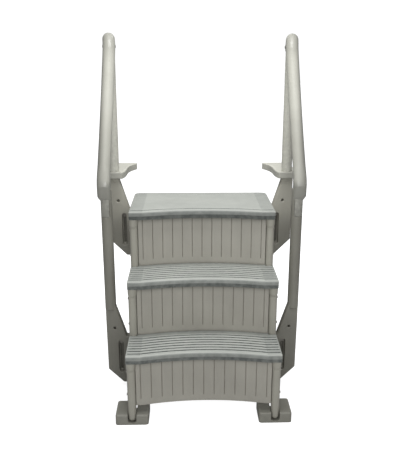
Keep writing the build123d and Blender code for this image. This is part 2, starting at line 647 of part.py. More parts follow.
# ---- rear tube ----------------------------------------------------------------------
with BuildPart() as rear_tube:
    with Locations((REAR_TUBE_X, REAR_LEG_Y, FLANGE_TOP)):
        Cylinder(REAR_TUBE_RADIUS, RAIL_END_Z - FLANGE_TOP, align=UP)
    with BuildSketch(Plane(origin=spigot_path @ 0, x_dir=(1, 0, 0), z_dir=spigot_path % 0)):
        Circle(RAIL_BORE - FIT)
    sweep(path=spigot_path)
    with Locations((REAR_TUBE_X, REAR_LEG_Y, FLANGE_TOP)):
        Cylinder(REAR_TUBE_BORE, RAIL_END_Z - FLANGE_TOP - SPIGOT_DEPTH, align=UP,
                 mode=Mode.SUBTRACT)
    for z in BASE_SCREW_ZS:
        with Locations((REAR_TUBE_X, REAR_LEG_Y + REAR_TUBE_BORE, z)):
            Cylinder(SCREW_RADIUS + FIT, BASE_BITE, rotation=ALONG_Y, mode=Mode.SUBTRACT)
    with Locations(joint_point):
        Cylinder(JOINT_BOLT_RADIUS + FIT, 3 * RAIL_RADIUS, rotation=ALONG_X, mode=Mode.SUBTRACT)

# ---- deck flange --------------------------------------------------------------------
with BuildPart() as deck_flange:
    with BuildSketch(Plane.XY.offset(UNDER_FLANGE - DECK_PAD_DROP)):
        with BuildLine():
            Polyline((440, FLANGE_FRONT), (FLANGE_OUTER, FLANGE_FRONT),
                     (FLANGE_OUTER, FLANGE_BACK), (380, FLANGE_BACK), (380, FLANGE_BACK - 14))
            Spline((380, FLANGE_BACK - 14), (414, 600), (424, 490), (440, FLANGE_FRONT),
                   tangents=[(0.5, -1), (0.35, -1)])
        make_face()
    extrude(amount=FLANGE_THICKNESS + DECK_PAD_DROP)
    fillet(deck_flange.edges().filter_by(Axis.Z).sort_by(Axis.X)[-2:], FLANGE_CORNER)
    fillet(deck_flange.faces().sort_by(Axis.Z)[-1].edges(), FLANGE_RIM)
    # only the part behind the leg comes down to the deck
    with Locations((FLANGE_OUTER, DECK_PAD_FRONT, UNDER_FLANGE)):
        Box(FLANGE_OUTER, FLANGE_OUTER, DECK_PAD_DROP, align=(Align.MAX, Align.MAX, Align.MAX),
            mode=Mode.SUBTRACT)
    with Locations((REAR_TUBE_X, REAR_LEG_Y, UNDER_FLANGE)):
        Cylinder(REAR_TUBE_BORE + FIT, FLANGE_THICKNESS, align=UP, mode=Mode.SUBTRACT)
    for end in ENDS:
        y = DECK_HOLE_Y + end * DECK_HOLE_SPACING / 2
        with Locations((DECK_HOLE_X, y, UNDER_FLANGE)):
            Cylinder(DECK_HOLE_RADIUS, 2 * FLANGE_THICKNESS, mode=Mode.SUBTRACT)

# ---- handrail fasteners -------------------------------------------------------------
def headed_along_y(x, head_y, z, length):
    """A screw driven forwards, its head bearing on a tube's back at head_y."""
    with Locations((x, head_y + SCREW_HEAD_HEIGHT / 2, z)):
        Cylinder(SCREW_HEAD_RADIUS, SCREW_HEAD_HEIGHT, rotation=ALONG_Y)
    with Locations((x, head_y - length / 2, z)):
        Cylinder(SCREW_RADIUS, length, rotation=ALONG_Y)


with BuildPart() as rail_screws:
    for z in LAP_SCREW_ZS:
        headed_along_y(LAP_SCREW_X, LEG_Y + LEG_RADIUS, z, LEG_RADIUS + TONGUE_BACK + LAP_BITE - 1)
    for z in BASE_SCREW_ZS:
        headed_along_y(REAR_TUBE_X, REAR_LEG_Y + REAR_TUBE_RADIUS, z, SCREW_BITE - 1)

with BuildPart() as top_joint_bolt:
    with Locations(joint_point):
        Cylinder(JOINT_BOLT_RADIUS, 2 * BOLT_SEAT, rotation=ALONG_X)
    for end in ENDS:
        head_x = joint_point.X + end * (BOLT_SEAT + JOINT_BOLT_RADIUS / 2)
        with Locations((head_x, joint_point.Y, joint_point.Z)):
            Cylinder(JOINT_BOLT_HEAD, JOINT_BOLT_RADIUS, rotation=ALONG_X)

FRAME_PIECES = {
    "front_leg": front_leg,
    "rear_leg": rear_leg,
    "handrail": handrail,
    "rear_tube": rear_tube,
    "deck_flange": deck_flange,
    "rail_screws": rail_screws,
    "top_joint_bolt": top_joint_bolt,
}
for side_name, side in SIDES.items():
    for piece_name, piece in FRAME_PIECES.items():
        save(mirrored(piece.part, side), f"{side_name}_{piece_name}")
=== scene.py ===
"""Looks of the in-pool step ladder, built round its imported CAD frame.

Lengths are metres in the CAD's own frame: X to the right of someone facing the steps, Y from
the water towards the deck, Z up. Places come from the boxes of the CAD nodes.
"""

import json
import math

import bmesh
import bpy
import numpy as np
from mathutils import Matrix, Vector


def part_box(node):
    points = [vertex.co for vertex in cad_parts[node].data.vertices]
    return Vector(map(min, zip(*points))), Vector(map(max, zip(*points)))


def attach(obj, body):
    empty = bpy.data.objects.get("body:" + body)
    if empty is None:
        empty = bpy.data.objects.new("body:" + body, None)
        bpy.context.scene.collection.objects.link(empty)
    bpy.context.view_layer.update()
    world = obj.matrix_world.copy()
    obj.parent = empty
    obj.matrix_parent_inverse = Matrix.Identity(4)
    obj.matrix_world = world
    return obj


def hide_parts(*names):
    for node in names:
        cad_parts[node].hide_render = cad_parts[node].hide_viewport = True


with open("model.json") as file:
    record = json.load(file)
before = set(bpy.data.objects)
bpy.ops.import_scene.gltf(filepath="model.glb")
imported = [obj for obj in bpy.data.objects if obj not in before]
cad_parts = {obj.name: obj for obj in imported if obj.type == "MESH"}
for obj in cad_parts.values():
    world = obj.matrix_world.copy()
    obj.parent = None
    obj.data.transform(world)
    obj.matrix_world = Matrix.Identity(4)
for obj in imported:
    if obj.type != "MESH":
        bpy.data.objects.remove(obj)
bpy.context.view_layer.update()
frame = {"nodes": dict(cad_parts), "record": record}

SIDES = {"left": -1, "right": 1}
LEVELS = ("top", "middle", "bottom")
ENDS = ("front", "rear")

# ---- driving sizes -------------------------------------------------------------------
# the hollow curve of the front edges, and the straight blocks at both ends of it
SAGITTA = 0.038
END_BLOCK = 0.070
EDGE_ROUNDING = 0.003
KINK_BLEND = 0.003

GROOVE_PITCH = 0.0272
GROOVE_WIDTH = 0.0115
GROOVE_DEPTH = 0.0042
WALL_TOP = 0.0006
LIP_WIDTH = 0.0035
LIP_HEIGHT = 0.0008
LOWER_TREAD_GROOVES = 7
FIRST_GROOVE_START = 0.0225
TOP_GROOVE_START = 0.0280
BAND_LINE = 0.0230
COLUMN_SETBACK = 0.026

# how much darker than their material some stretches are, from 0 to 1; part of it stands for
# the soft light's own shade
TOP_TREAD_SHADOW = 0.21
NOSING_SHADOW = 0.42
LEG_SHADOW = 0.42
LOW_WING_SHADOW = 0.06
REAR_WING_SHADOW = 0.42
FLANGE_FACE_SHADOW = 0.20
LUG_SHADOW = 0.50
ELBOW_SHADOW = 0.48
RAIL_SHADOW = 0.14
LOW_RAIL_SHADOW = 0.14
CROWN_SHADOW = 0.30
OUTER_SIDE_SHADOW = 0.26

# how far the parts of a tread are darkened, from 0 to 1
# painted shade on the nosing's lower and upper bands
NOSING_LOW_SHADE = 0.85
NOSING_HIGH_SHADE = 0.55
# dirt and painted shade in the grooves
GROOVE_DIRT_AND_SHADE = 1.0
# darker below the top surface and over the end blocks
HOLLOW_DARKENING = 0.35
END_BLOCK_DARKENING = 0.20
# painted shade on the rear band, in the corner under the tread above
REAR_BAND_SHADE = 0.42
# dirt and painted shade in the riser grooves
RISER_GROOVE_DIRT_AND_SHADE = 0.7

RISER_GROOVES = 13
RISER_PITCH = 0.0515
RISER_GROOVE_WIDTH = 0.0050
RISER_GROOVE_DEPTH = 0.0024
PLAIN_BAND = 0.036
RISER_OVERLAP = 0.0014
RISER_ROUNDING = 0.0025

CELL_COUNT = 7
SKIN = 0.008

half_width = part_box("top_tread")[1].x
flange_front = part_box("right_deck_flange")[0].y
kink = half_width - END_BLOCK


def curve_setback(x):
    """How far the hollow front edge lies behind the ends of the nosing."""
    return SAGITTA * (1 - min(1.0, (x / kink) ** 2))


def smooth_step(value, low, high):
    t = min(1.0, max(0.0, (value - low) / (high - low)))
    return t * t * (3 - 2 * t)


# ---- mesh helpers --------------------------------------------------------------------
def new_object(name, mesh):
    piece = bpy.data.objects.new(name, mesh)
    bpy.context.scene.collection.objects.link(piece)
    return piece


def ring_mesh(name, rings):
    """A closed skin over a row of equal-length rings, capped at both ends."""
    count = len(rings[0])
    points = [p for ring in rings for p in ring]
    faces = []
    for i in range(len(rings) - 1):
        a, b = i * count, (i + 1) * count
        for j in range(count):
            k = (j + 1) % count
            faces.append((a + j, a + k, b + k, b + j))
    faces.append(tuple(reversed(range(count))))
    faces.append(tuple(range(len(points) - count, len(points))))
    mesh = bpy.data.meshes.new(name)
    mesh.from_pydata([tuple(p) for p in points], [], faces)
    face_outwards(mesh)
    return mesh


def face_outwards(mesh):
    shape = bmesh.new()
    shape.from_mesh(mesh)
    bmesh.ops.recalc_face_normals(shape, faces=shape.faces)
    shape.to_mesh(mesh)
    shape.free()


def join_mesh(target, other):
    """Adds the faces of one mesh to another."""
    shape = bmesh.new()
    shape.from_mesh(target)
    shape.from_mesh(other)
    shape.to_mesh(target)
    shape.free()


def apply_modifiers(piece):
    graph = bpy.context.evaluated_depsgraph_get()
    baked = bpy.data.meshes.new_from_object(piece.evaluated_get(graph))
    piece.modifiers.clear()
    piece.data = baked


def shade(mesh, sharp_degrees=None):
    """Smooth shading, with edges steeper than an angle kept crisp."""
    mesh.shade_smooth()
    if sharp_degrees:
        mesh.set_sharp_from_angle(angle=math.radians(sharp_degrees))


def finish_piece(piece, body, slot_name, *nodes):
    piece.data.materials.clear()
    piece.data.materials.append(MATERIALS[slot_name])
    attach(piece, body)
    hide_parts(*nodes)


def paint(mesh, name, rule):
    """Stores a number from 0 to 1 at each point under a name: one attribute holds dirt and
    painted shade, "shadow" a darker tone that is partly painted shade.
    """
    values = mesh.attributes.new(name, "FLOAT", "POINT")
    values.data.foreach_set("value", [rule(v.co) for v in mesh.vertices])


# ---- materials -----------------------------------------------------------------------
class Shader:
    """A small builder for node trees: each call adds one node and returns its output."""

    def __init__(self, name):
        self.material = bpy.data.materials.new(name)
        self.material.use_nodes = True
        self.tree = self.material.node_tree
        self.surface = self.tree.nodes["Principled BSDF"]
        place = self.tree.nodes.new("ShaderNodeTexCoord")
        self.place = place.outputs["Object"]

    def add(self, kind, inputs=(), output=0, **settings):
        node = self.tree.nodes.new(kind)
        for key, value in settings.items():
            setattr(node, key, value)
        for socket, value in dict(inputs).items():
            if isinstance(value, bpy.types.NodeSocket):
                self.tree.links.new(value, node.inputs[socket])
            else:
                node.inputs[socket].default_value = value
        return node.outputs[output]

    def noise(self, scale, detail=2.0, stretch=None):
        place = self.place
        if stretch:
            place = self.add("ShaderNodeMapping", {"Vector": place, "Scale": stretch})
        return self.add("ShaderNodeTexNoise",
                        {"Vector": place, "Scale": scale, "Detail": detail})

    def spread(self, value, low, high, start=0.3, end=0.7):
        """Maps a value's start..end onto low..high."""
        return self.add("ShaderNodeMapRange", {"Value": value, "From Min": start,
                                               "From Max": end, "To Min": low, "To Max": high})

    def math(self, operation, a, b):
        return self.add("ShaderNodeMath", {0: a, 1: b}, operation=operation)

    def blend(self, factor, a, b):
        return self.add("ShaderNodeMix", {0: factor, 6: a, 7: b}, 2, data_type="RGBA")

    def tint(self, colour, value):
        """The colour times a value."""
        grey = self.add("ShaderNodeCombineColor", {0: value, 1: value, 2: value})
        return self.add("ShaderNodeMix", {0: 1.0, 6: colour, 7: grey}, 2,
                        data_type="RGBA", blend_type="MULTIPLY")

    def use(self, colour, roughness, bump_height, bump_distance):
        bump = self.add("ShaderNodeBump", {"Height": bump_height, "Strength": 1.0,
                                           "Distance": bump_distance})
        self.tree.links.new(colour, self.surface.inputs["Base Color"])
        self.tree.links.new(roughness, self.surface.inputs["Roughness"])
        self.tree.links.new(bump, self.surface.inputs["Normal"])
        return self.material


WORN_BRIGHTNESS = 1.35


def plastic(name, light, dark, soil_and_shade, speckle, roughness, grain, foot_shade, sheen=0.0):
    """Moulded resin: mottled, finely speckled, with dirt and painted shade in its hollows and
    painted shade towards the floor.
    """
    s = Shader(name)
    mottle = s.spread(s.noise(5.0, 5.0), 0.0, 1.0)
    colour = s.blend(mottle, light, dark)
    specks = s.spread(s.noise(700.0, 3.0), 1 - speckle, 1 + speckle)
    flow = s.spread(s.noise(22.0, 3.0, (1, 1, 0.15)), 0.97, 1.03)
    colour = s.tint(colour, s.math("MULTIPLY", specks, flow))
    # painted shade: darker towards the floor
    height = s.add("ShaderNodeSeparateXYZ", {0: s.place}, 2)
    shade_low = s.spread(height, foot_shade, 1.0, 0.0, 1.5)
    colour = s.tint(colour, shade_low)
    shadow = s.add("ShaderNodeAttribute", {}, "Fac", attribute_name="shadow")
    colour = s.tint(colour, s.math("SUBTRACT", 1.0, shadow))
    # dirt and painted shade marked on the points, and painted shade in nooks from ambient
    # occlusion, darken the colour
    marked_dirt_and_shade = s.add("ShaderNodeAttribute", {}, "Fac", attribute_name="soil_and_shade")
    near = s.add("ShaderNodeAmbientOcclusion", {"Distance": 0.018}, "AO", samples=8)
    nook_shade = s.spread(near, 0.55, 0.0, 0.25, 0.85)
    dirt_and_shade = s.math("MAXIMUM", marked_dirt_and_shade, nook_shade)
    patches = s.spread(s.noise(38.0, 4.0), 0.65, 1.0)
    colour = s.blend(s.math("MULTIPLY", dirt_and_shade, patches), colour, soil_and_shade)
    edges = s.add("ShaderNodeNewGeometry", {}, "Pointiness")
    worn = s.math("MULTIPLY", s.spread(edges, 0.0, 0.35, 0.53, 0.60),
                  s.spread(s.noise(60.0), 0, 1))
    worn_colour = tuple(min(1, c * WORN_BRIGHTNESS) for c in light[:3]) + (1,)
    colour = s.blend(worn, colour, worn_colour)
    gloss = s.spread(s.noise(17.0, 6.0), roughness - 0.06, roughness + 0.08)
    fine = s.math("MULTIPLY", s.noise(1100.0, 2.0), 0.6)
    waves = s.math("MULTIPLY", s.noise(130.0, 3.0), 0.9)
    s.surface.inputs["Coat Weight"].default_value = sheen
    s.surface.inputs["Coat Roughness"].default_value = 0.16
    s.surface.inputs["Specular IOR Level"].default_value = 0.45
    return s.use(colour, gloss, s.math("ADD", fine, waves), grain)


def steel(name, colour):
    """Brushed stainless steel with faint streaks and stains."""
    s = Shader(name)
    streaks = s.noise(260.0, 4.0, (1.0, 1.0, 0.08))
    tone = s.tint(colour, s.spread(streaks, 0.86, 1.08))
    stained = s.spread(s.noise(90.0, 3.0), 0.0, 0.25, 0.55, 0.75)
    tone = s.blend(stained, tone, (0.28, 0.24, 0.19, 1))
    s.surface.inputs["Metallic"].default_value = 1.0
    return s.use(tone, s.spread(streaks, 0.26, 0.42), streaks, 0.0001)


MATERIALS = {
    "tread_plastic": plastic("tread_plastic", (0.500, 0.517, 0.480, 1), (0.445, 0.462, 0.430, 1),
                             (0.036, 0.046, 0.046, 1), 0.10, 0.54, 0.00035, 0.85),
    "riser_plastic": plastic("riser_plastic", (0.480, 0.465, 0.408, 1), (0.425, 0.410, 0.360, 1),
                             (0.120, 0.108, 0.088, 1), 0.06, 0.50, 0.00030, 0.80),
    "frame_plastic": plastic("frame_plastic", (0.462, 0.452, 0.390, 1), (0.396, 0.386, 0.330, 1),
                             (0.095, 0.086, 0.066, 1), 0.06, 0.42, 0.00030, 0.80),
    "rail_plastic": plastic("rail_plastic", (0.625, 0.622, 0.556, 1), (0.568, 0.565, 0.500, 1),
                            (0.190, 0.182, 0.150, 1), 0.04, 0.34, 0.00012, 0.60, 0.06),
    "foot_plastic": plastic("foot_plastic", (0.330, 0.325, 0.285, 1), (0.280, 0.275, 0.235, 1),
                            (0.090, 0.085, 0.070, 1), 0.06, 0.52, 0.00035, 0.80),
    "nut_plastic": plastic("nut_plastic", (0.022, 0.022, 0.023, 1), (0.015, 0.015, 0.016, 1),
                           (0.050, 0.045, 0.040, 1), 0.15, 0.45, 0.00030, 1.0),
    "stainless": steel("stainless", (0.24, 0.23, 0.21, 1)),
}

# ---- treads --------------------------------------------------------------------------
# distance behind the front edge and height below the top, from the underside upwards
NOSE_SLOPED = ((0.0075, -0.0440), (0.0052, -0.0428), (0.0042, -0.0405), (0.0016, -0.0250),
               (0.0000, -0.0230), (0.0000, -0.0110), (0.0012, -0.0062), (0.0036, -0.0025),
               (0.0070, -0.0006), (0.0110, 0.0000))
NOSE_BLOCK = ((0.0075, -0.0440), (0.0052, -0.0428), (0.0042, -0.0405), (0.0016, -0.0250),
              (0.0000, -0.0230), (0.0000, -0.0100), (0.0005, -0.0052), (0.0022, -0.0020),
              (0.0050, -0.0005), (0.0090, 0.0000))
TREAD_CORNER = 0.034
REAR_WALL = 0.014
NOSING_WALL = 0.024


def groove_starts(step):
    """Where each groove begins behind the front edge: one line on the top tread, rows below."""
    if step == 0:
        return [TOP_GROOVE_START]
    return [FIRST_GROOVE_START + GROOVE_PITCH * i for i in range(LOWER_TREAD_GROOVES)]


def groove_profile(start, strength):
    """A groove with a small raised lip in front: distance behind the edge, height."""
    deep = -GROOVE_DEPTH * strength
    lip = LIP_HEIGHT * strength
    return [(start - LIP_WIDTH, 0.0), (start - LIP_WIDTH * 0.6, lip), (start - 0.0006, lip),
            (start + GROOVE_WIDTH * 0.10, deep), (start + GROOVE_WIDTH * 0.84, deep),
            (start + GROOVE_WIDTH * 0.97, -WALL_TOP * strength), (start + GROOVE_WIDTH, 0.0)]


def rear_edge(x, back, step):
    """Y of the tread's back edge, whose corners are round on the top tread."""
    beyond = abs(x) - (half_width - TREAD_CORNER)
    if step > 0 or beyond <= 0:
        return back
    return back - TREAD_CORNER + math.sqrt(max(0.0, TREAD_CORNER ** 2 - beyond ** 2))


def tread_ring(x, inset, step, low, high):
    """The tread's section at one X, pulled in by inset near its rounded ends."""
    setback = curve_setback(x)
    block = smooth_step(abs(x), kink - KINK_BLEND, kink + KINK_BLEND)
    flat_end = smooth_step(half_width - abs(x), EDGE_ROUNDING, 3 * EDGE_ROUNDING)
    back = rear_edge(x, high.y, step) - inset
    outline = []
    for sloped, square in zip(NOSE_SLOPED, NOSE_BLOCK):
        behind = sloped[0] + (square[0] - sloped[0]) * block + inset
        below = sloped[1] + (square[1] - sloped[1]) * block
        below = max(below, low.z - high.z + inset) - inset * (below > -BAND_LINE)
        outline.append((low.y + setback + behind, high.z + below))
    for start in groove_starts(step):
        for behind, rise in groove_profile(start, flat_end):
            outline.append((low.y + setback + behind, high.z + rise - inset))
    plain_front = low.y + setback + groove_starts(step)[-1] + GROOVE_WIDTH
    for share in (0.25, 0.5, 0.75):
        outline.append((plain_front + (back - EDGE_ROUNDING - plain_front) * share,
                        high.z - inset))
    outline += [(back - EDGE_ROUNDING, high.z - inset),
                (back - EDGE_ROUNDING * 0.3, high.z - EDGE_ROUNDING * 0.3 - inset),
                (back, high.z - EDGE_ROUNDING - inset), (back, low.z + inset)]
    return [(x, y, z) for y, z in outline]


def tread_stations():
    """X of each section and how far it is pulled in, from end to end."""
    plain = [(x, 0.0) for x in np.linspace(0, kink - KINK_BLEND, 26)]
    plain += [(kink + offset, 0.0) for offset in (-0.001, 0.001, KINK_BLEND, 0.025, 0.045)]
    plain += [(half_width - 3 * EDGE_ROUNDING, 0.0), (half_width - EDGE_ROUNDING, 0.0)]
    for degrees in (30, 60, 90):
        angle = math.radians(degrees)
        plain.append((half_width - EDGE_ROUNDING * (1 - math.sin(angle)),
                      EDGE_ROUNDING * (1 - math.cos(angle))))
    mirrored = [(-x, inset) for x, inset in reversed(plain[1:])]
    return mirrored + plain


def box_mesh(low, high, corner):
    """A box whose upright edges are rounded."""
    shape = bmesh.new()
    bmesh.ops.create_cube(shape, size=1.0)
    size = Vector(high) - Vector(low)
    bmesh.ops.scale(shape, vec=size, verts=shape.verts)
    bmesh.ops.translate(shape, vec=(Vector(high) + Vector(low)) / 2, verts=shape.verts)
    if corner:
        upright = [e for e in shape.edges
                   if abs(e.verts[0].co.z - e.verts[1].co.z) > size.z / 2]
        bmesh.ops.bevel(shape, geom=upright, offset=corner, segments=4, profile=0.5,
                        affect="EDGES")
    mesh = bpy.data.meshes.new("box")
    shape.to_mesh(mesh)
    shape.free()
    return mesh


def cut(piece, boxes):
    """Subtracts boxes, given as (low, high, corner), from a piece."""
    tool = new_object("cutter", bpy.data.meshes.new("cutter"))
    for low, high, corner in boxes:
        join_mesh(tool.data, box_mesh(low, high, corner))
    modifier = piece.modifiers.new("cut", "BOOLEAN")
    modifier.operation = "DIFFERENCE"
    modifier.solver = "EXACT"
    modifier.object = tool
    apply_modifiers(piece)
    bpy.data.objects.remove(tool)


def tread_hollows(step, low, high):
    """The cells under the tread and, below the top, the notches round the next columns."""
    pitch = 2 * (kink - 0.006) / CELL_COUNT
    boxes = []
    for i in range(CELL_COUNT):
        x = pitch * (i - (CELL_COUNT - 1) / 2)
        front = low.y + curve_setback(x) + NOSING_WALL
        boxes.append(((x - (pitch - SKIN) / 2, front, low.z - 0.01),
                      (x + (pitch - SKIN) / 2, high.y - REAR_WALL, high.z - SKIN), 0.006))
    if step > 0:
        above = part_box("right_stringer")
        column_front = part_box(f"{LEVELS[step - 1]}_tread")[0].y + COLUMN_SETBACK
        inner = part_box(f"{LEVELS[step]}_riser")[1].x + 0.003
        for side in SIDES.values():
            xs = sorted((side * inner, side * (half_width + 0.01)))
            boxes.append(((xs[0], column_front, low.z - 0.01),
                          (xs[1], high.y + 0.01, above[1].z + 0.01), 0))
    return boxes


def build_tread(step):
    name = f"{LEVELS[step]}_tread"
    low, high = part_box(name)
    rings = [tread_ring(x, inset, step, low, high) for x, inset in tread_stations()]
    piece = new_object(f"{name}_moulding", ring_mesh(name, rings))
    cut(piece, tread_hollows(step, low, high))
    shade(piece.data, 32)

    last_groove = groove_starts(step)[-1] + GROOVE_WIDTH

    # painted shade on the nosing bands and the rear band, dirt and painted shade in the grooves,
    # darker below the top and over the end blocks
    def soil_and_shade(place):
        behind = place.y - low.y - curve_setback(place.x)
        below = high.z - place.z
        if behind < 0.009:
            if below > BAND_LINE + 0.001:
                return NOSING_LOW_SHADE
            return NOSING_HIGH_SHADE * smooth_step(below, 0.0020, 0.0075)
        if below > WALL_TOP * 0.8:
            return GROOVE_DIRT_AND_SHADE if below < GROOVE_DEPTH * 1.2 else HOLLOW_DARKENING
        end_block = END_BLOCK_DARKENING if abs(place.x) > kink else 0.0
        rear_band = REAR_BAND_SHADE if step > 0 and behind > last_groove + 0.004 else 0.0
        return max(end_block, rear_band)

    paint(piece.data, "soil_and_shade", soil_and_shade)
    # painted shade darkens the whole top tread
    if step == 0:
        paint(piece.data, "shadow", lambda place: TOP_TREAD_SHADOW)
    finish_piece(piece, "stair", "tread_plastic", name)


# ---- risers --------------------------------------------------------------------------
def riser_stations(half):
    """X of each column of points, close together at the grooves."""
    xs = {round(v, 6) for v in np.linspace(-kink, kink, 41)}
    for i in range(RISER_GROOVES):
        centre = (i - (RISER_GROOVES - 1) / 2) * RISER_PITCH
        xs = {v for v in xs if abs(v - centre) > RISER_GROOVE_WIDTH}
        for share in (-0.62, -0.5, -0.3, 0.0, 0.3, 0.5, 0.62):
            xs.add(round(centre + share * RISER_GROOVE_WIDTH, 6))
    xs |= {-half + 0.0015, -half, half - 0.0015, half}
    return sorted(v for v in xs if abs(v) <= half)


def groove_depth(x, above_band):
    """Depth of the nearest groove at this X and height above the plain band."""
    nearest = round(x / RISER_PITCH)
    if abs(nearest) > (RISER_GROOVES - 1) / 2:
        return 0.0
    across = (x - nearest * RISER_PITCH) / (RISER_GROOVE_WIDTH / 2)
    along = min(0.0, above_band) / (RISER_GROOVE_WIDTH / 2)
    return RISER_GROOVE_DEPTH * max(0.0, 1 - across ** 2 - along ** 2)


def build_riser(step):
    name = f"{LEVELS[step]}_riser"
    low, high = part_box(name)
    thickness = high.y - low.y - SAGITTA
    half = high.x + RISER_OVERLAP
    rounding = RISER_ROUNDING
    band = low.z + PLAIN_BAND
    zs = [low.z, low.z + rounding * 0.3, low.z + rounding, low.z + 0.018]
    zs += [band + offset * RISER_GROOVE_WIDTH / 2 for offset in (-1.05, -0.8, -0.5, 0.0, 1.0)]
    zs += [float(z) for z in np.linspace(band + 0.02, high.z - 0.045, 5)]
    zs += [high.z - 0.030, high.z - 0.015, high.z]
    rings = []
    for x in riser_stations(half):
        face = low.y + curve_setback(x)
        tuck = rounding * 0.6 if half - abs(x) < 0.001 else 0.0
        front = []
        for z in zs:
            above_floor = z - low.z
            lip = rounding - math.sqrt(max(0.0, rounding ** 2
                                           - max(0.0, rounding - above_floor) ** 2))
            front.append((x, face + max(lip, tuck) + groove_depth(x, z - band), z))
        rings.append(front + [(x, face + thickness, high.z), (x, face + thickness, low.z)])
    piece = new_object(f"{name}_panel", ring_mesh(name, rings))
    shade(piece.data, 40)

    # dirt and painted shade, deepest in the middle of each groove
    def soil_and_shade(place):
        depth = groove_depth(place.x, place.z - band)
        return RISER_GROOVE_DIRT_AND_SHADE * depth / RISER_GROOVE_DEPTH

    # painted shadow under the nosing of the tread above, fading down the riser
    def under_nosing(place):
        return NOSING_SHADOW * (1 - smooth_step(high.z - place.z, 0.0, 0.040))

    paint(piece.data, "soil_and_shade", soil_and_shade)
    paint(piece.data, "shadow", under_nosing)
    finish_piece(piece, "stair", "riser_plastic", name)


# ---- blow-moulded pieces -------------------------------------------------------------
def softened(name, node, body, slot_name, voxel, passes, keep, shadow=None):
    """A copy of a CAD node with its edges rounded over, as moulded resin comes out.

    It is rebuilt at a voxel size, smoothed in some passes and thinned to a share of its faces.
    """
    source = frame["nodes"][node].data
    piece = new_object(name, source.copy())
    shape = bmesh.new()
    shape.from_mesh(piece.data)
    bmesh.ops.remove_doubles(shape, verts=shape.verts, dist=1e-6)
    shape.to_mesh(piece.data)
    shape.free()
    remesh = piece.modifiers.new("remesh", "REMESH")
    remesh.mode = "VOXEL"
    remesh.voxel_size = voxel
    ease = piece.modifiers.new("ease", "SMOOTH")
    ease.factor = 0.5
    ease.iterations = passes
    thin = piece.modifiers.new("thin", "DECIMATE")
    thin.ratio = keep
    apply_modifiers(piece)
    shade(piece.data)
    if shadow:
        paint(piece.data, "shadow", shadow)
    finish_piece(piece, body, slot_name, node)


def leg_shadow(place):
    """Legs painted darker than the steps, partly their own darker grey and partly painted shade,
    which deepens on their lower wings.
    """
    return LEG_SHADOW + LOW_WING_SHADOW * (1 - smooth_step(place.z, 0.3, 0.5))


def wing_shadow(place):
    """Painted shade: the rear wings darken downwards, away from the light."""
    return REAR_WING_SHADOW * (1 - smooth_step(place.z, 0.74, 0.96))


def flange_shadow(place):
    """Painted shade on the flange's front face only."""
    return FLANGE_FACE_SHADOW * (1 - smooth_step(place.y - flange_front, 0.002, 0.006))


def lug_shadow(place):
    """Painted shade on the lugs that stand out from the side panels, behind the wings."""
    return LUG_SHADOW * smooth_step(abs(place.x) - half_width, 0.003, 0.008)


def build_frame_mouldings():
    for side in SIDES:
        softened(f"{side}_side_panel", f"{side}_stringer", "stair", "frame_plastic",
                 0.0030, 5, 0.40, lug_shadow)
        softened(f"{side}_front_wing", f"{side}_front_leg", f"{side}_frame", "frame_plastic",
                 0.0025, 5, 0.50, leg_shadow)
        softened(f"{side}_rear_wing", f"{side}_rear_leg", f"{side}_frame", "frame_plastic",
                 0.0025, 5, 0.50, wing_shadow)
        softened(f"{side}_flange", f"{side}_deck_flange", f"{side}_frame", "rail_plastic",
                 0.0022, 5, 0.60, flange_shadow)
        for end in ENDS:
            softened(f"{side}_{end}_shoe", f"{side}_{end}_foot", f"{side}_{end}_foot",
                     "foot_plastic", 0.0020, 4, 0.60)


# ---- handrails -----------------------------------------------------------------------
RAIL_RADIUS = 0.0325
REAR_RADIUS = 0.0295
ELBOW_HALF_X = 0.0335
ELBOW_HALF_Y = 0.0335
ELBOW_SHIFT = 0.0095
LEG_RADIUS = 0.029
CREASE_HEIGHT = 0.085
CROWN_HEIGHT = 0.089
LEG_SPIGOT = 0.060
SECTION_POINTS = 48
# how square a section is: 2 is an ellipse, more is squarer
ROUND_POWER = 2.0
ELBOW_POWER = 3.2
# rounded foot of the elbow, drawn in on its outer side, its face leaning out to the crease:
# height above the foot, how much smaller, shift inwards, shift to the rear
ELBOW_FOOT = ((0.0, 0.0110, 0.0085, 0.0030), (0.0015, 0.0080, 0.0075, 0.0030),
              (0.0070, 0.0045, 0.0055, 0.0028), (0.0160, 0.0015, 0.0025, 0.0024),
              (0.0240, 0.0, 0.0, 0.0020), (0.0500, 0.0, 0.0, 0.0),
              (0.0740, 0.0, 0.0, -0.0020), (0.0800, 0.0, 0.0, -0.0022))
# the crown's rounded rim: distance below its end, how much smaller in radius
CROWN_RIM = ((0.0020, 0.0004), (0.0032, 0.0014), (0.0036, 0.0030))
TONGUE_FLAT = 0.0150
TONGUE_PROUD = 0.0004


def clamped_spline(points, first, last, count):
    """Points along the smooth curve through some points with given end directions."""
    points = np.array(points, float)
    gaps = np.linalg.norm(np.diff(points, axis=0), axis=1)
    slopes = np.diff(points, axis=0) / gaps[:, None]
    size = len(points)
    system = np.eye(size)
    target = np.zeros((size, 3))
    target[0] = np.array(first, float) / np.linalg.norm(first)
    target[-1] = np.array(last, float) / np.linalg.norm(last)
    for i in range(1, size - 1):
        before, after = gaps[i - 1], gaps[i]
        system[i, i - 1:i + 2] = (after, 2 * (before + after), before)
        target[i] = 3 * (after * slopes[i - 1] + before * slopes[i])
    tangents = np.linalg.solve(system, target)
    curve = []
    for i, gap in enumerate(gaps):
        for t in np.linspace(0, 1, count, endpoint=False):
            a = 2 * t ** 3 - 3 * t ** 2 + 1
            b = t ** 3 - 2 * t ** 2 + t
            c = t ** 3 - t ** 2
            place = a * points[i] + (1 - a) * points[i + 1]
            curve.append(place + gap * (b * tangents[i] + c * tangents[i + 1]))
    curve.append(points[-1])
    return [Vector(p) for p in curve]


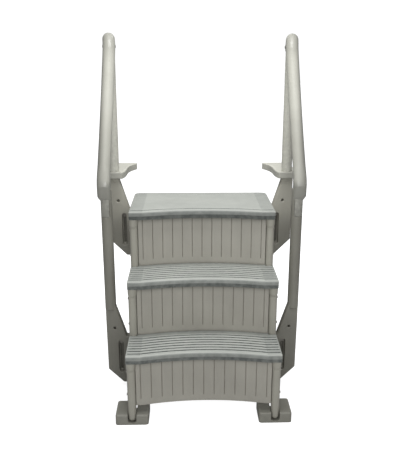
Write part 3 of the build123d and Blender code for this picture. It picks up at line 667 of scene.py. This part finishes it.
def section(centre, normal, half_x, half_y, power):
    """A superellipse ring across a direction, with its first axis near X."""
    normal = normal.normalized()
    across = (Vector((1, 0, 0)) - normal * normal.x).normalized()
    along = normal.cross(across)
    ring = []
    for i in range(SECTION_POINTS):
        angle = 2 * math.pi * i / SECTION_POINTS
        c, s = math.cos(angle), math.sin(angle)
        u = half_x * math.copysign(abs(c) ** (2 / power), c)
        v = half_y * math.copysign(abs(s) ** (2 / power), s)
        ring.append(centre + across * u + along * v)
    return ring


def rail_rings(high, axis_x, axis_y, rear_x, rear_y):
    """Sections from the elbow's foot up the raked tube and over the crown."""
    up = Vector((0, 0, 1))
    elbow_x = axis_x + ELBOW_SHIFT
    elbow_y = axis_y - 0.001
    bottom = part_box("right_front_leg")[1].z - LEG_SPIGOT
    rings = []
    for rise, shrink, slide, lean in ELBOW_FOOT:
        centre = Vector((elbow_x - slide, elbow_y + lean, bottom + rise))
        rings.append(section(centre, up, ELBOW_HALF_X - shrink, ELBOW_HALF_Y - shrink,
                             ELBOW_POWER))
    crease = Vector((elbow_x, elbow_y, bottom + CREASE_HEIGHT))
    end_z = high.z - CROWN_HEIGHT
    rake_top = Vector((axis_x - 0.010, axis_y + 0.284, end_z))
    climb = end_z - crease.z
    rake_points = [crease + Vector((0.0005, 0.006, 0.012)),
                   Vector((axis_x + 0.006, axis_y + 0.084, crease.z + climb * 0.27)),
                   Vector((axis_x - 0.002, axis_y + 0.190, crease.z + climb * 0.633)),
                   rake_top]
    rake = clamped_spline(rake_points, (0, 0.45, 1), (-0.03, 0.34, 1), 14)
    crown_points = [rake_top, Vector((axis_x - 0.004, axis_y + 0.341, end_z + 0.055)),
                    Vector((rear_x, rear_y, end_z))]
    crown = clamped_spline(crown_points, (-0.03, 0.34, 1), (0, 0, -1), 16)
    path = rake + crown[1:]
    for i, place in enumerate(path):
        ahead = path[min(i + 1, len(path) - 1)]
        behind = path[max(i - 1, 0)]
        direction = (ahead - behind).normalized()
        if i == len(path) - 1:
            direction = -up
        roundness = smooth_step(i, 0, 7)
        half_x = ELBOW_HALF_X + (RAIL_RADIUS - ELBOW_HALF_X) * roundness
        half_y = ELBOW_HALF_Y + (RAIL_RADIUS - ELBOW_HALF_Y) * roundness
        power = ELBOW_POWER + (ROUND_POWER - ELBOW_POWER) * roundness
        rings.append(section(place, direction, half_x, half_y, power))
    # the rounded rim where the crown ends on the thinner rear tube
    for drop, shrink in CROWN_RIM:
        radius = RAIL_RADIUS - shrink
        rings.append(section(path[-1] - up * drop, -up, radius, radius, ROUND_POWER))
    return rings


def tongue_rings(axis_x, axis_y, low_z, high_z):
    """The lap that runs down the front of the leg under the elbow."""
    outer = LEG_RADIUS + TONGUE_PROUD
    first, last = math.radians(-122), math.radians(-31.5)
    rings = []
    for z, shrink in ((low_z, 0.0016), (low_z + 0.0006, 0.0006), (low_z + 0.0018, 0.0),
                      (high_z, 0.0)):
        arc = []
        for i in range(25):
            angle = first + (last - first) * i / 24
            arc.append((axis_x + (outer - shrink) * math.cos(angle),
                        axis_y + (outer - shrink) * math.sin(angle), z))
        arc += [(arc[-1][0], axis_y - TONGUE_FLAT, z), (arc[0][0], axis_y - TONGUE_FLAT, z)]
        rings.append(arc)
    return rings


def build_handrail(side):
    sign = SIDES[side]
    low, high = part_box("right_handrail")
    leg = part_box("right_front_leg")
    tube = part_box("right_rear_tube")
    axis_x = leg[1].x - LEG_RADIUS
    axis_y = (leg[0].y + leg[1].y) / 2
    rear_x = tube[1].x - REAR_RADIUS
    rear_y = tube[1].y - REAR_RADIUS
    mesh = ring_mesh("rail", rail_rings(high, axis_x, axis_y, rear_x, rear_y))
    elbow_foot = leg[1].z - LEG_SPIGOT
    join_mesh(mesh, ring_mesh("tongue", tongue_rings(axis_x, axis_y, low.z, elbow_foot + 0.01)))
    if sign < 0:
        mesh.transform(Matrix.Scale(-1, 4, (1, 0, 0)))
    face_outwards(mesh)
    piece = new_object(f"{side}_grab_rail", mesh)
    shade(piece.data, 38)
    crease_z = elbow_foot + CREASE_HEIGHT

    # painted shade: darkest on the elbow, lighter up the raked tube, deeper again over the crown
    # and the outer side
    def shadow(place):
        if place.z < crease_z:
            return ELBOW_SHADOW
        climb = smooth_step(place.z, crease_z + 0.01, crease_z + 0.45)
        low_part = LOW_RAIL_SHADOW * (1 - climb)
        crown = CROWN_SHADOW * smooth_step(place.z, high.z - 0.15, high.z - 0.01)
        outwards = smooth_step(abs(place.x), axis_x, axis_x + RAIL_RADIUS)
        return RAIL_SHADOW + low_part + max(crown, OUTER_SIDE_SHADOW * outwards)

    paint(piece.data, "shadow", shadow)
    finish_piece(piece, f"{side}_frame", "rail_plastic", f"{side}_handrail")


# ---- pieces that keep their CAD shape --------------------------------------------------
def dress_cad_nodes():
    """Every CAD node still shown takes the material of its slot in the record."""
    for subpart in frame["record"]["subparts"]:
        node = frame["nodes"][subpart["node"]]
        node.data.materials.clear()
        node.data.materials.append(MATERIALS[subpart["material_slot"]])


# ---- studio --------------------------------------------------------------------------
def build_floor():
    """A pale sweep that stays white to the camera and throws only a little light back up."""
    shader = Shader("floor")
    mottle = shader.spread(shader.noise(1.5, 2.0), 0, 1)
    tone = shader.blend(mottle, (0.50, 0.50, 0.50, 1), (0.47, 0.47, 0.47, 1))
    shader.use(tone, shader.spread(shader.noise(8.0), 0.8, 0.9), shader.noise(300.0), 0.0001)
    seen = shader.add("ShaderNodeLightPath", {}, "Is Camera Ray")
    away = shader.add("ShaderNodeVectorMath", {0: shader.place}, "Value", operation="LENGTH")
    glow = shader.math("MULTIPLY", seen, shader.spread(away, 0.80, 1.10, 0.3, 1.6))
    shader.surface.inputs["Emission Color"].default_value = (1, 1, 1, 1)
    shader.tree.links.new(glow, shader.surface.inputs["Emission Strength"])
    size = 30.0
    mesh = bpy.data.meshes.new("floor")
    drop = -0.0005
    mesh.from_pydata([(-size, -size, drop), (size, -size, drop), (size, size, drop),
                      (-size, size, drop)], [], [(0, 1, 2, 3)])
    floor = new_object("floor", mesh)
    mesh.materials.append(shader.material)


def area_light(name, place, target, width, height, power):
    light = bpy.data.lights.new(name, "AREA")
    light.shape = "RECTANGLE"
    light.size = width
    light.size_y = height
    light.energy = power
    lamp = bpy.data.objects.new(name, light)
    bpy.context.scene.collection.objects.link(lamp)
    lamp.location = place
    lamp.rotation_mode = "QUATERNION"
    lamp.rotation_quaternion = (Vector(target) - Vector(place)).to_track_quat("-Z", "Y")
    return lamp


# place, target, width, height and power of each light
LIGHTS = {
    "overhead": ((0.0, -0.7, 3.3), (0.0, 0.0, 0.9), 1.0, 1.0, 36),
    "high": ((0.0, -0.2, 5.0), (0.0, 0.0, 0.9), 3.0, 3.0, 52),
    "front_fill": ((0.1, -4.2, 2.2), (0.0, 0.0, 0.9), 1.6, 1.6, 78),
    "back_top": ((0.0, 2.2, 3.2), (0.0, 0.3, 1.1), 1.6, 1.0, 60),
}
WORLD_LIGHT = 0.20
WORLD_SEEN = 1.05


def build_studio():
    world = bpy.data.worlds.new("studio")
    bpy.context.scene.world = world
    world.use_nodes = True
    tree = world.node_tree
    backdrop = tree.nodes["Background"]
    backdrop.inputs["Color"].default_value = (1, 1, 1, 1)
    rays = tree.nodes.new("ShaderNodeLightPath")
    level = tree.nodes.new("ShaderNodeMapRange")
    level.inputs["To Min"].default_value = WORLD_LIGHT
    level.inputs["To Max"].default_value = WORLD_SEEN
    tree.links.new(rays.outputs["Is Camera Ray"], level.inputs["Value"])
    tree.links.new(level.outputs["Result"], backdrop.inputs["Strength"])
    lamps = {name: area_light(name, *settings) for name, settings in LIGHTS.items()}
    # its reflection would wash out the crowns of the handrails
    lamps["back_top"].visible_glossy = False
    bpy.context.scene.view_settings.view_transform = "Standard"


CAMERA_PITCH = 16.57
CAMERA_YAW = 2.05
CAMERA_ROLL = 0.238
CAMERA_X = -0.0714
CAMERA_BEFORE_NOSING = 3.0924
CAMERA_HEIGHT = 1.7919
CAMERA_LENS = 48.47


def build_camera():
    """A camera above and in front of the steps, a little to the left of their middle."""
    pitch, yaw, roll = (math.radians(v) for v in (CAMERA_PITCH, CAMERA_YAW, CAMERA_ROLL))
    forward = Vector((math.sin(yaw) * math.cos(pitch), math.cos(yaw) * math.cos(pitch),
                      -math.sin(pitch)))
    level_right = Vector((math.cos(yaw), -math.sin(yaw), 0))
    level_up = level_right.cross(forward)
    right = level_right * math.cos(roll) + level_up * math.sin(roll)
    up = level_up * math.cos(roll) - level_right * math.sin(roll)
    camera = bpy.data.objects.new("camera", bpy.data.cameras.new("camera"))
    bpy.context.scene.collection.objects.link(camera)
    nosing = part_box("top_tread")[0].y
    place = Vector((CAMERA_X, nosing - CAMERA_BEFORE_NOSING, CAMERA_HEIGHT))
    axes = Matrix((right, up, -forward)).transposed()
    camera.matrix_world = Matrix.Translation(place) @ axes.to_4x4()
    camera.data.sensor_width = 36.0
    camera.data.lens = CAMERA_LENS
    camera.data.clip_end = 200.0
    bpy.context.scene.camera = camera


dress_cad_nodes()
for step in range(len(LEVELS)):
    build_tread(step)
    build_riser(step)
build_frame_mouldings()
for side in SIDES:
    build_handrail(side)
build_floor()
build_studio()
build_camera()
